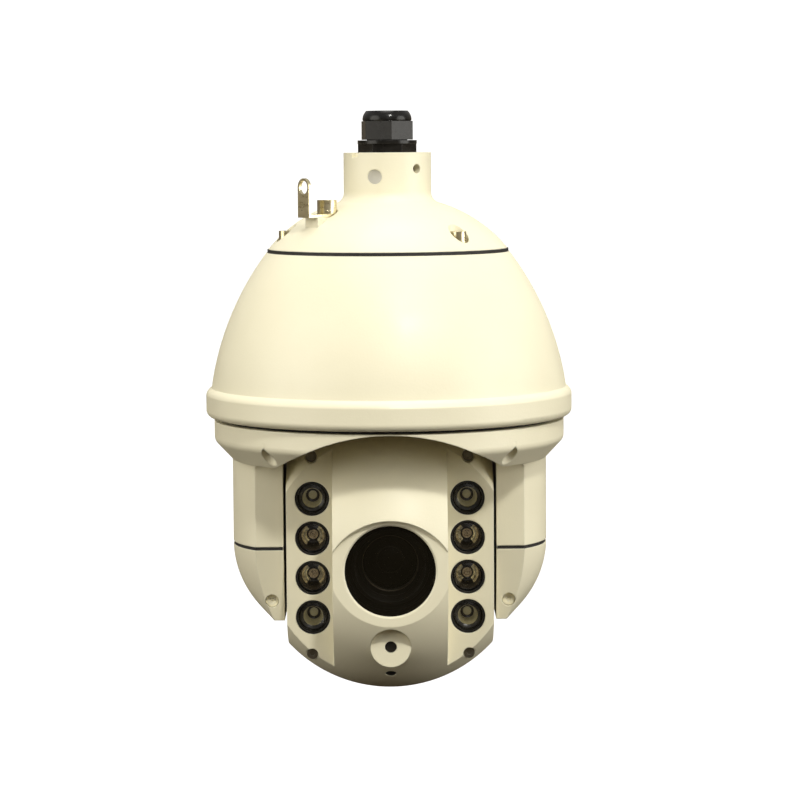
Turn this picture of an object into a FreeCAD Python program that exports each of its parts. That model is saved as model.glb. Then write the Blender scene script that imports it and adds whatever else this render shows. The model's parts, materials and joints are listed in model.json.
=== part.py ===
"""Infrared speed dome camera: fixed housing, endless pan ring with two arms, tilting camera head.

Frame, in millimetres: the origin is the centre of the neck's top face, +Z is up, the camera looks along -Y.
"""
import FreeCAD, Part
import math
import os
import types

import Sketcher

Vector = FreeCAD.Vector
Rotation = FreeCAD.Rotation

DIMENSIONS = {
    # cable gland
    "gland_hex": 33, "gland_hex_height": 5.6, "gland_flange_radius": 19.3, "gland_flange_top": 7.9,
    "gland_thread_radius": 13.2, "gland_thread_top": 17, "gland_spigot_radius": 12.4,
    "gland_spigot_depth": 12, "gland_bore": 8.2, "nut_hex": 31, "nut_bottom": 8.2, "nut_hex_top": 20.3,
    "nut_top": 27, "nut_dome_radius": 16, "nut_mouth_radius": 13.5, "nut_opening": 9.5, "seal_top": 23.9,
    "cable_radius": 6.5,
    "locknut_hex": 32, "locknut_height": 4.8,
    # top cap
    "neck_radius": 28.5, "neck_bore": 22.5, "neck_roof": 6, "neck_straight": 25.8, "neck_fillet": 7,
    "shoulder_radius": 33.5, "shoulder_depth": 32.5, "shoulder_arc": 90, "cap_radius": 78, "cap_depth": 62.3,
    "cap_wall": 4, "cap_cavity": 72.5, "plug_radius": 4.7, "plug_depth": 15.5, "lock_hole_radius": 3,
    "lock_hole_depth": 10.6, "notch_width": 6, "notch_height": 3,
    # cap screws and safety lug
    "cap_screw_circle": 67, "pocket_radius": 6.5, "pocket_floor": 58, "cap_screw_head": 5, "cap_boss": 9,
    "washer_height": 2, "m_six": 3, "m_eight": 4, "lug_circle": 50, "lug_seat": 41, "lug_boss": 10,
    "lug_seat_radius": 6.9, "lug_pad_reach": 12.6, "lug_sheet": 2, "lug_width": 11.6, "lug_reach": 17,
    "lug_eye_depth": 21.7, "lug_eye_radius": 4.3,
    "lug_bolt_head": 6.3, "lug_bolt_height": 6.5, "lug_washer_height": 2.5,
    # housing bell
    "gasket_height": 2.2, "flange_bore": 58, "bell_top": 79.3, "bell_arc": 189, "bell_radius": 115.9,
    "bell_depth": 152, "rim_radius": 119.5, "rim_shoulder_depth": 156.5, "rim_depth": 171, "rim_bore": 110,
    "rim_corner": 4.5, "ledge_bore": 98, "ledge_top": 146, "ledge_bottom": 150, "bell_wall": 4,
    # base plate and pan drive
    "plate_bottom": 154, "plate_radius": 109.8, "plate_screw_circle": 104,
    "bearing_top": 143, "bearing_bore": 20, "bearing_outer": 32,
    "hub_bore": 15, "hub_top": 130, "pan_pulley_radius": 45, "pan_pulley_top": 134, "pulley_height": 7,
    "pan_pinion_radius": 9, "pan_belt_span": 72, "belt_thickness": 1.2, "motor_side": 35, "motor_bottom": 130,
    "motor_top": 104, "slip_ring_radius": 11, "board_depth": 96, "board_radius": 78,
    # pan ring
    "ring_top": 157, "ring_plate_radius": 107, "seam_depth": 173.1, "ring_radius": 114.3,
    "chamfer_depth": 186,
    "ring_bottom": 197.8, "ring_foot_radius": 103.2, "arch_radius": 118.3, "arch_apex": 173.6,
    "ring_edge_radius": 6, "ball_clearance_radius": 94, "recess_radius": 4.7, "recess_x": 75.6,
    "recess_y": 79, "recess_floor": 181, "ring_screw_length": 6.5,
    # arms
    "arm_inner": 68.6, "arm_half_depth": 41.5, "arm_crease": 86.6, "arm_arc": 61.3, "arm_ear": 5.5,
    "arm_seam_top": 252.6, "arm_seam_bottom": 254.8, "arm_bottom": 301.9, "arm_wall": 3.5, "cover_foot": 79,
    "cover_arc": 61, "crease_foot": 75.2, "crease_arc": 108, "cover_screw_x": 76.6,
    "cover_screw_depth": 288.7, "cover_recess": 4.3, "cover_draft": 9,
    # head shell, measured from the ball's centre
    "ball_depth": 259.4, "ball_radius": 91.2, "cheek": 66.7, "shell_wall": 3.5, "bulge_half_width": 36.5,
    "strip_front": 45, "lens_drop": 3.5, "lens_pad_radius": 40.1, "brow_radius": 43, "brow_drop": 14,
    "lens_floor": 82.5, "window_sight": 28.8,
    "window_radius": 30.3, "window_front": 81, "window_thickness": 2.4, "sensor_drop": 53.4,
    "sensor_front": 72.8, "sensor_boss_radius": 12.9, "sensor_hole_radius": 3.8, "split_front": 15,
    "split_back": 13,
    # infrared lamps
    "lamp_x": 49.9, "lamp_pitch": 25.6, "lamp_hole": 11.1, "bezel_bore": 9.7, "lamp_depth": 24,
    "lamp_lens": 3, "lamp_lens_rise": 1.2, "lamp_cup_foot": 3.6,
    # head screws
    "strip_screw_x": 50.5, "strip_screw_up": 65, "strip_screw_seat": 34, "corner_screw_x": 50.7,
    "corner_screw_down": 62.9, "corner_screw_seat": 37.5, "head_counterbore": 4, "m_four": 2,
    "chin_hole_down": 74, "chin_hole_front": 53.3, "chin_hole_radius": 3.6,
    # tilt drive
    "hub_radius": 30, "shaft_radius": 6, "tilt_pulley_radius": 20, "tilt_pinion_radius": 6.5,
    "tilt_belt_span": 40, "tilt_pulley_inner": 76, "tilt_bearing_radius": 13,
    # camera block
    "camera_half_width": 26, "camera_half_height": 30, "camera_front": 26, "camera_back": 45,
    "barrel_radius": 24.6, "barrel_bore": 17.6, "barrel_mouth": 22.6, "barrel_step": 44, "barrel_front": 62,
    "front_lens_back": 36, "shroud_back": 57, "shroud_bore": 25.2,
}

CAP_SCREW_AZIMUTHS = (42, 162, -78)
QUARTERS = (0, 90, 180, 270)
LUG_AZIMUTH = -51
PLUG_AZIMUTH = -16.7
LOCK_HOLE_AZIMUTH = 41.6
NOTCH_AZIMUTH = -48
GLAND_BODY_TURN = 0
GLAND_NUT_TURN = 39
NECK_SEAM_AZIMUTH = 102
HEX_CORNER = 1 / math.cos(math.radians(30)) / 2
BOTH_SIDES = (-1, 1)
FIT_GAP = 0.02
LOOSE_GAP = 0.1

UPRIGHT = Rotation()
TO_FRONT = Rotation(Vector(1, 0, 0), 90)
TO_BACK = Rotation(Vector(1, 0, 0), -90)
TO_RIGHT = Rotation(Vector(0, 1, 0), 90)
DOWNWARD = Rotation(Vector(1, 0, 0), 180)
TO_CHIN = Rotation(Vector(1, 0, 0), 135)
BELT_TO_SIDE = Rotation(Vector(1, 1, 1), 120)
HALF_TURN = Rotation(Vector(0, 0, 1), 180)

doc = FreeCAD.newDocument("speed_dome_camera")
nodes = []


# ---------------------------------------------------------------- sizes bound to the sheet

class Size:
    """A length with the sheet expression that gives it."""

    def __init__(self, value, text):
        self.value = float(value)
        self.text = text

    def __neg__(self):
        return Size(-self.value, f"(0 - {self.text})")

    def __add__(self, other):
        return Size(self.value + number(other), f"({self.text} + {formula(other)})")

    def __radd__(self, other):
        return self + other

    def __sub__(self, other):
        return Size(self.value - number(other), f"({self.text} - {formula(other)})")

    def __rsub__(self, other):
        return Size(number(other) - self.value, f"({formula(other)} - {self.text})")

    def __mul__(self, other):
        return Size(self.value * number(other), f"({self.text} * {formula(other)})")

    def __rmul__(self, other):
        return self * other

    def __truediv__(self, other):
        return Size(self.value / number(other), f"({self.text} / {formula(other)})")


def number(size):
    return size.value if isinstance(size, Size) else float(size)


def formula(size):
    return size.text if isinstance(size, Size) else f"({float(size):.6f})"


def bind(thing, path, size):
    """Ties one property of a document object to the sheet."""
    if isinstance(size, Size):
        thing.setExpression(path, size.text)


def make_sheet():
    sheet = doc.addObject("Spreadsheet::Sheet", "Dimensions")
    for row, (name, value) in enumerate(DIMENSIONS.items(), start=1):
        sheet.set(f"A{row}", name)
        sheet.set(f"B{row}", str(value))
        sheet.setAlias(f"B{row}", name)
    doc.recompute()
    sizes = {name: Size(value, f"Dimensions.{name}") for name, value in DIMENSIONS.items()}
    return types.SimpleNamespace(**sizes)


d = make_sheet()
ball_z = -d.ball_depth


# ---------------------------------------------------------------- sketches and features

def segment(start, end, radius):
    """The line or arc between two corners, with the vertex numbers of its start and its end."""
    if radius is None:
        return Part.LineSegment(Vector(*start, 0), Vector(*end, 0)), 1, 2
    turn = 1 if radius > 0 else -1
    run_x = end[0] - start[0]
    run_y = end[1] - start[1]
    chord = math.hypot(run_x, run_y)
    height = turn * math.sqrt(radius ** 2 - chord ** 2 / 4) / chord
    centre_x = (start[0] + end[0]) / 2 - run_y * height
    centre_y = (start[1] + end[1]) / 2 + run_x * height
    first = math.atan2(start[1] - centre_y, start[0] - centre_x)
    last = math.atan2(end[1] - centre_y, end[0] - centre_x)
    circle = Part.Circle(Vector(centre_x, centre_y, 0), Vector(0, 0, 1), abs(radius))
    if turn > 0:
        return Part.ArcOfCircle(circle, first, last), 1, 2
    return Part.ArcOfCircle(circle, last, first), 2, 1


def add_sketch(body, plane, offset=0.0):
    sketch = body.newObject("Sketcher::SketchObject", body.Name + "Sketch")
    origin_plane = next(item for item in body.Origin.OriginFeatures if item.Role == plane)
    sketch.AttachmentSupport = [(origin_plane, "")]
    sketch.MapMode = "FlatFace"
    sketch.AttachmentOffset = FreeCAD.Placement(Vector(0, 0, number(offset)), Rotation())
    bind(sketch, "AttachmentOffset.Base.z", offset)
    return sketch


def pin_point(sketch, geometry, vertex, x, y):
    """Holds a vertex at its distances from the sketch's origin."""
    for kind, size in (("DistanceX", x), ("DistanceY", y)):
        index = sketch.addConstraint(Sketcher.Constraint(kind, -1, 1, geometry, vertex, number(size)))
        bind(sketch, f"Constraints[{index}]", size)


def pin_radius(sketch, geometry, radius):
    index = sketch.addConstraint(Sketcher.Constraint("Radius", geometry, number(radius)))
    bind(sketch, f"Constraints[{index}]", radius)


def draw_outline(sketch, corners):
    """Corners are (x, y), or (x, y, radius) where an arc ends; a positive radius turns anticlockwise."""
    pieces = []
    for index, corner in enumerate(corners):
        after = corners[(index + 1) % len(corners)]
        radius = after[2] if len(after) == 3 else None
        start = (number(corner[0]), number(corner[1]))
        end = (number(after[0]), number(after[1]))
        edge, first, last = segment(start, end, None if radius is None else number(radius))
        pieces.append((sketch.addGeometry(edge, False), first, last, radius))
    for index, (geometry, first, last, radius) in enumerate(pieces):
        following = pieces[(index + 1) % len(pieces)]
        sketch.addConstraint(Sketcher.Constraint("Coincident", geometry, last, following[0], following[1]))
        pin_point(sketch, geometry, first, corners[index][0], corners[index][1])
        if radius is not None:
            pin_radius(sketch, geometry, -radius if number(radius) < 0 else radius)


def draw_circle(sketch, x, y, radius):
    circle = Part.Circle(Vector(number(x), number(y), 0), Vector(0, 0, 1), number(radius))
    geometry = sketch.addGeometry(circle, False)
    pin_point(sketch, geometry, 3, x, y)
    pin_radius(sketch, geometry, radius)


def revolve(corners, name="Turned"):
    """A body turned about Z from an outline of (radius, height) corners."""
    body = doc.addObject("PartDesign::Body", name)
    sketch = add_sketch(body, "XZ_Plane")
    draw_outline(sketch, corners)
    turned = body.newObject("PartDesign::Revolution", name + "Revolution")
    turned.Profile = sketch
    turned.ReferenceAxis = (sketch, ["V_Axis"])
    turned.Angle = 360
    return body


def extrude(corners, length, plane="XY_Plane", offset=0.0, centred=False, name="Extruded"):
    """A body padded from an outline along its plane's normal: +Z for XY, -Y for XZ, +X for YZ."""
    body = doc.addObject("PartDesign::Body", name)
    sketch = add_sketch(body, plane, offset)
    draw_outline(sketch, corners)
    pad = body.newObject("PartDesign::Pad", name + "Pad")
    pad.Profile = sketch
    pad.Length = number(length)
    bind(pad, "Length", length)
    pad.Midplane = centred
    return body


def loft(sections, name="Lofted"):
    """A body lofted through level outlines, given as (height, corners)."""
    body = doc.addObject("PartDesign::Body", name)
    sketches = []
    for height, corners in sections:
        sketch = add_sketch(body, "XY_Plane", height)
        draw_outline(sketch, corners)
        sketches.append(sketch)
    skin = body.newObject("PartDesign::AdditiveLoft", name + "Loft")
    skin.Profile = sketches[0]
    skin.Sections = sketches[1:]
    return body


def drill(body, plane, holes):
    """Cuts round holes, given as (x, y, radius), right through a body in both directions."""
    sketch = add_sketch(body, plane)
    for x, y, radius in holes:
        draw_circle(sketch, x, y, radius)
    pocket = body.newObject("PartDesign::Pocket", body.Name + "Pocket")
    pocket.Profile = sketch
    pocket.Type = "ThroughAll"
    pocket.Midplane = True


def place(thing, x=0.0, y=0.0, z=0.0, turn=UPRIGHT):
    thing.Placement = FreeCAD.Placement(Vector(number(x), number(y), number(z)), turn)
    for axis, size in (("x", x), ("y", y), ("z", z)):
        bind(thing, f"Placement.Base.{axis}", size)
    return thing


def primitive(kind, sizes):
    thing = doc.addObject(kind, kind.split("::")[1])
    for name, size in sizes.items():
        setattr(thing, name, number(size))
        bind(thing, name, size)
    return thing


def rod(radius, length, x=0.0, y=0.0, z=0.0, turn=UPRIGHT):
    return place(primitive("Part::Cylinder", {"Radius": radius, "Height": length}), x, y, z, turn)


def block(width, depth, height, x=0.0, y=0.0, z=0.0):
    """A box centred on x and y that stands on z."""
    box = primitive("Part::Box", {"Length": width, "Width": depth, "Height": height})
    return place(box, x - width / 2, y - depth / 2, z)


def ball(radius, x=0.0, y=0.0, z=0.0):
    return place(primitive("Part::Sphere", {"Radius": radius}), x, y, z)


def hexagon(across, height, z=0.0, turn=UPRIGHT):
    prism = primitive("Part::Prism", {"Circumradius": across * HEX_CORNER, "Height": height})
    prism.Polygon = 6
    return place(prism, 0.0, 0.0, z, turn)


def fuse(*things):
    joined = doc.addObject("Part::MultiFuse", "Fuse")
    joined.Shapes = list(things)
    return joined


def common(*things):
    shared = doc.addObject("Part::MultiCommon", "Common")
    shared.Shapes = list(things)
    return shared


def cut(base, *tools):
    result = doc.addObject("Part::Cut", "Cut")
    result.Base = base
    result.Tool = tools[0] if len(tools) == 1 else fuse(*tools)
    return result


def group(*things):
    compound = doc.addObject("Part::Compound", "Group")
    compound.Links = list(things)
    return compound


def dome_arc(half_width, rise):
    """The radius of a lens face that rises by this much over its half width."""
    return (half_width * half_width + rise * rise) / (2 * rise)


def node(label, thing):
    """Names a finished sub-part, which is written to its own file."""
    thing.Label = label
    nodes.append(thing)
    return thing


def polar(radius, azimuth):
    """A point at an azimuth counted from the front (-Y) towards +X."""
    angle = math.radians(azimuth)
    return radius * math.sin(angle), radius * -math.cos(angle)


def outward(azimuth):
    """Turns local +Z to point outwards at an azimuth."""
    return Rotation(Vector(0, 0, 1), azimuth - 90) * TO_RIGHT


def socket_screw(head_radius, head_height, shank_radius, shank_length, socket):
    """A socket cap screw with its head's top at the local origin and its shank along local -Z."""
    head = rod(head_radius, head_height, z=-head_height)
    shank = rod(shank_radius, shank_length, z=-head_height - shank_length)
    return cut(fuse(head, shank), hexagon(socket, head_height, z=-0.55 * head_height))


def spring_washer(outer, bore, height):
    """A split ring with its bottom at the local origin."""
    slit = block(outer, 0.9, height, x=outer / 2)
    return cut(rod(outer, height), rod(bore, height), slit)


def belt_core(large, small, span, height):
    """The space that a belt encloses: two discs and the body between their tangent points."""
    slope = (number(large) - number(small)) / number(span)
    rise = math.sqrt(1 - slope ** 2)
    corners = [
        (large * rise, large * slope),
        (small * rise, span + small * slope),
        (-small * rise, span + small * slope),
        (-large * rise, large * slope),
    ]
    return fuse(rod(large, height), rod(small, height, y=span), extrude(corners, height))


def belt(large, small, span, height):
    grown = d.belt_thickness + LOOSE_GAP
    outside = belt_core(large + grown, small + grown, span, height)
    return cut(outside, belt_core(large + LOOSE_GAP, small + LOOSE_GAP, span, height))


# ---------------------------------------------------------------- cable gland

def gland_parts():
    stem_radius = d.gland_hex / 2 - 1
    stem = revolve([
        (d.gland_bore, -d.gland_spigot_depth),
        (d.gland_spigot_radius, -d.gland_spigot_depth),
        (d.gland_spigot_radius, 0),
        (stem_radius, 0),
        (stem_radius, d.gland_hex_height),
        (d.gland_flange_radius, d.gland_hex_height),
        (d.gland_flange_radius, d.gland_flange_top),
        (d.gland_thread_radius, d.gland_flange_top),
        (d.gland_thread_radius, d.gland_thread_top),
        (d.gland_bore, d.gland_thread_top),
    ])
    body_turn = Rotation(Vector(0, 0, 1), GLAND_BODY_TURN)
    body_hex = hexagon(d.gland_hex, d.gland_hex_height, turn=body_turn)
    hex_ring = cut(body_hex, rod(d.gland_bore, d.gland_hex_height))
    node("gland_body", fuse(stem, hex_ring))

    nut_bore = d.gland_thread_radius + LOOSE_GAP
    seal_bore = nut_bore - 1.8
    dome = revolve([
        (nut_bore, d.nut_bottom),
        (d.nut_hex / 2, d.nut_bottom),
        (d.nut_hex / 2, d.nut_hex_top),
        (d.nut_dome_radius, d.nut_hex_top + 0.7),
        (d.nut_mouth_radius, d.nut_top, 8),
        (d.nut_opening, d.nut_top),
        (d.nut_opening, d.seal_top + LOOSE_GAP),
        (seal_bore, d.seal_top + LOOSE_GAP),
        (seal_bore, d.gland_thread_top + LOOSE_GAP),
        (nut_bore, d.gland_thread_top + LOOSE_GAP),
    ])
    nut_height = d.nut_hex_top - d.nut_bottom
    nut_turn = Rotation(Vector(0, 0, 1), GLAND_NUT_TURN)
    nut_hex = hexagon(d.nut_hex, nut_height, z=d.nut_bottom, turn=nut_turn)
    node("gland_nut", fuse(dome, cut(nut_hex, rod(nut_bore, nut_height, z=d.nut_bottom))))

    seal_outer = seal_bore - LOOSE_GAP
    seal_bottom = d.gland_thread_top + LOOSE_GAP
    node("gland_seal", revolve([
        (d.cable_radius, seal_bottom),
        (seal_outer, seal_bottom),
        (seal_outer, d.seal_top),
        (d.cable_radius, d.seal_top),
    ]))
    locknut_bottom = -d.neck_roof - d.locknut_height
    locknut = hexagon(d.locknut_hex, d.locknut_height, z=locknut_bottom)
    locknut_bore = rod(d.gland_spigot_radius + LOOSE_GAP, d.locknut_height, z=locknut_bottom)
    node("gland_locknut", cut(locknut, locknut_bore))


# ---------------------------------------------------------------- top cap

def top_cap():
    outside = revolve([
        (0, 0),
        (0, -d.cap_depth),
        (d.cap_radius, -d.cap_depth),
        (d.shoulder_radius, -d.shoulder_depth, d.shoulder_arc),
        (d.neck_radius, -d.neck_straight, -d.neck_fillet),
        (d.neck_radius, 0),
    ])
    # the turned surface starts at an azimuth where the neck's wall has no hole
    place(outside, turn=Rotation(Vector(0, 0, 1), NECK_SEAM_AZIMUTH - 90))
    cavity = revolve([
        (0, -d.neck_roof),
        (0, -d.cap_depth),
        (d.cap_cavity, -d.cap_depth),
        (d.neck_bore, -d.shoulder_depth - 1.7, d.shoulder_arc - d.cap_wall),
        (d.neck_bore, -d.neck_roof),
    ])
    boss_height = d.cap_depth - d.lug_seat
    bosses = []
    cutters = [rod(d.gland_spigot_radius + LOOSE_GAP, d.neck_roof, z=-d.neck_roof)]
    for azimuth in CAP_SCREW_AZIMUTHS:
        x, y = polar(d.cap_screw_circle, azimuth)
        bosses.append(rod(d.cap_boss, boss_height, x, y, -d.cap_depth))
        cutters.append(rod(d.pocket_radius, d.pocket_floor, x, y, -d.pocket_floor))
        cutters.append(rod(d.m_six + LOOSE_GAP, d.cap_depth, x, y, -d.cap_depth))
    x, y = polar(d.lug_circle, LUG_AZIMUTH)
    bosses.append(rod(d.lug_boss, boss_height, x, y, -d.cap_depth))
    pad_turn = Rotation(Vector(0, 0, 1), LUG_AZIMUTH - 90)
    pad_width = d.lug_width + 1.2
    pad_depth = boss_height / 2
    pad_end = block(d.lug_pad_reach, pad_width, pad_depth, x=d.lug_pad_reach / 2)
    lug_pad = place(fuse(rod(d.lug_seat_radius, pad_depth), pad_end), x, y, -d.lug_seat - pad_depth, pad_turn)
    cutters.append(rod(d.lug_seat_radius, d.lug_seat, x, y, -d.lug_seat))
    foot_way = block(d.lug_reach, d.lug_width + 0.4, d.lug_seat, x=d.lug_reach / 2)
    cutters.append(place(group(foot_way), x, y, -d.lug_seat, pad_turn))
    cutters.append(rod(d.m_eight + FIT_GAP, d.cap_depth, x, y, -d.cap_depth))

    wall_start = d.neck_bore - 1
    wall_length = d.neck_radius - d.neck_bore + 3
    for azimuth, radius, depth in (
        (PLUG_AZIMUTH, d.plug_radius, d.plug_depth),
        (LOCK_HOLE_AZIMUTH, d.lock_hole_radius, d.lock_hole_depth),
    ):
        x, y = polar(wall_start, azimuth)
        cutters.append(rod(radius, wall_length, x, y, -depth, outward(azimuth)))
    x, y = polar(d.neck_radius, NOTCH_AZIMUTH)
    notch = block(d.notch_width, d.notch_width, d.notch_height)
    cutters.append(place(group(notch), x, y, -d.notch_height, Rotation(Vector(0, 0, 1), NOTCH_AZIMUTH)))
    node("top_cap", cut(fuse(outside, lug_pad), cut(cavity, *bosses), *cutters))


def cap_fittings():
    plug_length = d.neck_radius - d.neck_bore - 1
    x, y = polar(d.neck_bore + 0.5, PLUG_AZIMUTH)
    plug = rod(d.plug_radius - LOOSE_GAP / 2, plug_length)
    dimple_ball = 12
    dimple = ball(dimple_ball, z=plug_length + dimple_ball - 0.8)
    node("neck_plug", place(cut(plug, dimple), x, y, -d.plug_depth, outward(PLUG_AZIMUTH)))

    gasket = revolve([
        (d.flange_bore + 2, -d.cap_depth - d.gasket_height),
        (d.cap_radius + 0.6, -d.cap_depth - d.gasket_height),
        (d.cap_radius + 0.6, -d.cap_depth),
        (d.flange_bore + 2, -d.cap_depth),
    ])
    points = [polar(d.cap_screw_circle, azimuth) for azimuth in CAP_SCREW_AZIMUTHS]
    drill(gasket, "XY_Plane", [(x, y, d.m_six + LOOSE_GAP) for x, y in points])
    node("cap_gasket", gasket)

    screw_top = -d.pocket_floor + d.washer_height + 2 * d.m_six
    screws = []
    washers = []
    for x, y in points:
        screw = socket_screw(d.cap_screw_head, 2 * d.m_six, d.m_six, 16, d.cap_screw_head)
        screws.append(place(screw, x, y, screw_top))
        washer = spring_washer(d.cap_screw_head + 0.4, d.m_six + LOOSE_GAP, d.washer_height)
        washers.append(place(washer, x, y, -d.pocket_floor))
    node("cap_screws", group(*screws))
    node("cap_screw_washers", group(*washers))


def safety_lug():
    """A bent strip: its foot lies under the bolt and its plate stands up at the outer end."""
    turn = Rotation(Vector(0, 0, 1), LUG_AZIMUTH - 90)
    half = d.lug_width / 2
    plate_height = d.lug_seat - d.lug_eye_depth
    foot = extrude([
        (0, -half),
        (d.lug_reach + d.lug_sheet, -half),
        (d.lug_reach + d.lug_sheet, half),
        (0, half),
    ], d.lug_sheet)
    foot_end = rod(half, d.lug_sheet)
    plate = extrude([
        (-half, 0),
        (half, 0),
        (half, plate_height),
        (0, plate_height + half, half),
        (-half, plate_height, half),
    ], d.lug_sheet, "YZ_Plane", offset=d.lug_reach)
    drill(plate, "YZ_Plane", [(0, plate_height, d.lug_eye_radius)])
    lug = cut(fuse(foot, foot_end, plate), rod(d.m_eight + LOOSE_GAP, d.lug_sheet))
    x, y = polar(d.lug_circle, LUG_AZIMUTH)
    node("safety_lug", place(lug, x, y, -d.lug_seat, turn))

    washer_bottom = -d.lug_seat + d.lug_sheet
    washer = spring_washer(d.lug_bolt_head, d.m_eight + LOOSE_GAP, d.lug_washer_height)
    node("safety_lug_washer", place(washer, x, y, washer_bottom))
    bolt = socket_screw(d.lug_bolt_head, d.lug_bolt_height, d.m_eight, 20, d.lug_bolt_head)
    bolt_top = washer_bottom + d.lug_washer_height + d.lug_bolt_height
    node("safety_lug_bolt", place(bolt, x, y, bolt_top))


# ---------------------------------------------------------------- fixed housing

def upper_housing():
    top = -d.cap_depth - d.gasket_height
    inner_arc = d.bell_arc - d.bell_wall
    flange_bottom = top - 5.5
    bell = revolve([
        (d.flange_bore, top),
        (d.flange_bore, flange_bottom),
        (d.bell_top - 1.1, flange_bottom),
        (d.rim_bore + 0.8, -d.ledge_top, -inner_arc),
        (d.ledge_bore, -d.ledge_top),
        (d.ledge_bore, -d.ledge_bottom),
        (d.rim_bore, -d.ledge_bottom),
        (d.rim_bore, -d.rim_depth),
        (d.rim_radius - d.rim_corner, -d.rim_depth),
        (d.rim_radius, -d.rim_depth + d.rim_corner, d.rim_corner),
        (d.rim_radius, -d.rim_shoulder_depth),
        (d.bell_radius, -d.bell_depth, 6),
        (d.bell_top, top, d.bell_arc),
    ])
    bores = [rod(d.m_six + FIT_GAP, 8, *polar(d.cap_screw_circle, azimuth), top - 8)
             for azimuth in CAP_SCREW_AZIMUTHS]
    node("upper_housing", cut(bell, *bores))


def base_plate():
    """The cast plate that closes the housing, with the bearing seat, the motor shelf and the posts."""
    bottom = -d.plate_bottom
    top = -d.ledge_bottom
    thickness = d.plate_bottom - d.ledge_bottom
    seat = d.bearing_outer + FIT_GAP
    plate = revolve([
        (seat - 2, bottom),
        (d.plate_radius, bottom),
        (d.plate_radius, top),
        (seat + 6, top),
        (seat + 6, -d.bearing_top + 1),
        (seat, -d.bearing_top + 1),
        (seat, bottom + 1),
        (seat - 2, bottom + 1),
    ])
    shelf_thickness = 2.5
    shelf_width = d.motor_side + 15
    shelf_bottom = -d.motor_bottom - shelf_thickness
    shelf = block(shelf_width, 30, shelf_thickness, y=d.pan_belt_span, z=shelf_bottom)
    leg_height = shelf_bottom - top
    legs = [block(shelf_thickness, 30, leg_height, side * (shelf_width - shelf_thickness) / 2,
                  d.pan_belt_span, top) for side in BOTH_SIDES]
    board_post_height = -d.board_depth - top
    posts = [rod(3, board_post_height, side * 56, y, top) for side in BOTH_SIDES for y in (-36, 40)]
    slip_posts = [rod(3, -d.motor_top - top, side * 54, 0, top) for side in BOTH_SIDES]
    shelf_hole = rod(12, shelf_thickness, y=d.pan_belt_span, z=shelf_bottom)
    holes = [rod(d.m_four + LOOSE_GAP, thickness, *polar(d.plate_screw_circle, azimuth), bottom)
             for azimuth in QUARTERS]
    node("base_plate", cut(fuse(plate, shelf, *legs, *posts, *slip_posts), shelf_hole, *holes))
    screws = []
    for azimuth in QUARTERS:
        screw = socket_screw(3.5, 2, d.m_four, thickness, 3)
        screws.append(place(screw, *polar(d.plate_screw_circle, azimuth), bottom - 2, DOWNWARD))
    node("base_plate_screws", group(*screws))


def pan_drive():
    """Bearing, hub, pulleys, belt, motor and slip ring about the vertical axis."""
    height = 9
    bearing_z = -d.bearing_top - height
    race = 4
    outer = cut(rod(d.bearing_outer, height, z=bearing_z), rod(d.bearing_outer - race, height, z=bearing_z))
    node("pan_bearing_outer", outer)
    inner_bore = d.bearing_bore + FIT_GAP
    inner = cut(rod(d.bearing_bore + race, height, z=bearing_z), rod(inner_bore, height, z=bearing_z))
    node("pan_bearing_inner", inner)
    node("pan_hub", revolve([
        (d.hub_bore, -d.ring_top),
        (d.bearing_bore + 8, -d.ring_top),
        (d.bearing_bore + 8, -d.ring_top + 2),
        (d.bearing_bore, -d.ring_top + 2),
        (d.bearing_bore, -d.hub_top),
        (d.hub_bore, -d.hub_top),
    ]))
    pulley_z = -d.pan_pulley_top - d.pulley_height
    pulley = rod(d.pan_pulley_radius, d.pulley_height, z=pulley_z)
    node("pan_pulley", cut(pulley, rod(inner_bore, d.pulley_height, z=pulley_z)))

    motor_height = d.motor_bottom - d.motor_top
    shaft_radius = 2.5
    shaft_top = 8
    pinion = rod(d.pan_pinion_radius, d.pulley_height, y=d.pan_belt_span, z=pulley_z)
    shaft_length = d.pan_pulley_top + d.pulley_height - d.motor_bottom + shaft_top
    shaft = rod(shaft_radius, shaft_length, y=d.pan_belt_span, z=pulley_z)
    node("pan_motor_pulley", fuse(pinion, shaft))
    motor = block(d.motor_side, d.motor_side, motor_height, y=d.pan_belt_span, z=-d.motor_bottom)
    bore = rod(shaft_radius + 0.05, shaft_top + 0.5, y=d.pan_belt_span, z=-d.motor_bottom)
    node("pan_motor", cut(motor, bore))
    loop = belt(d.pan_pulley_radius, d.pan_pinion_radius, d.pan_belt_span, d.pulley_height - 2)
    node("pan_belt", place(loop, z=pulley_z + 1))

    rotor_top = -d.motor_top - 6
    node("slip_ring_rotor", revolve([
        (0, -d.ledge_bottom),
        (d.slip_ring_radius, -d.ledge_bottom),
        (d.slip_ring_radius, -d.hub_top),
        (d.hub_bore + 4, -d.hub_top),
        (d.hub_bore + 4, -d.hub_top + 2),
        (d.slip_ring_radius, -d.hub_top + 2),
        (d.slip_ring_radius, rotor_top),
        (0, rotor_top),
    ]))
    stator_bottom = -d.hub_top + 3
    sleeve = rod(d.slip_ring_radius + 4, -d.motor_top - stator_bottom, z=stator_bottom)
    bridge = block(116, 10, 2, z=-d.motor_top)
    hollow = rod(d.slip_ring_radius + 0.05, rotor_top + 0.5 - stator_bottom, z=stator_bottom)
    node("slip_ring_stator", cut(fuse(sleeve, bridge), hollow))


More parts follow.
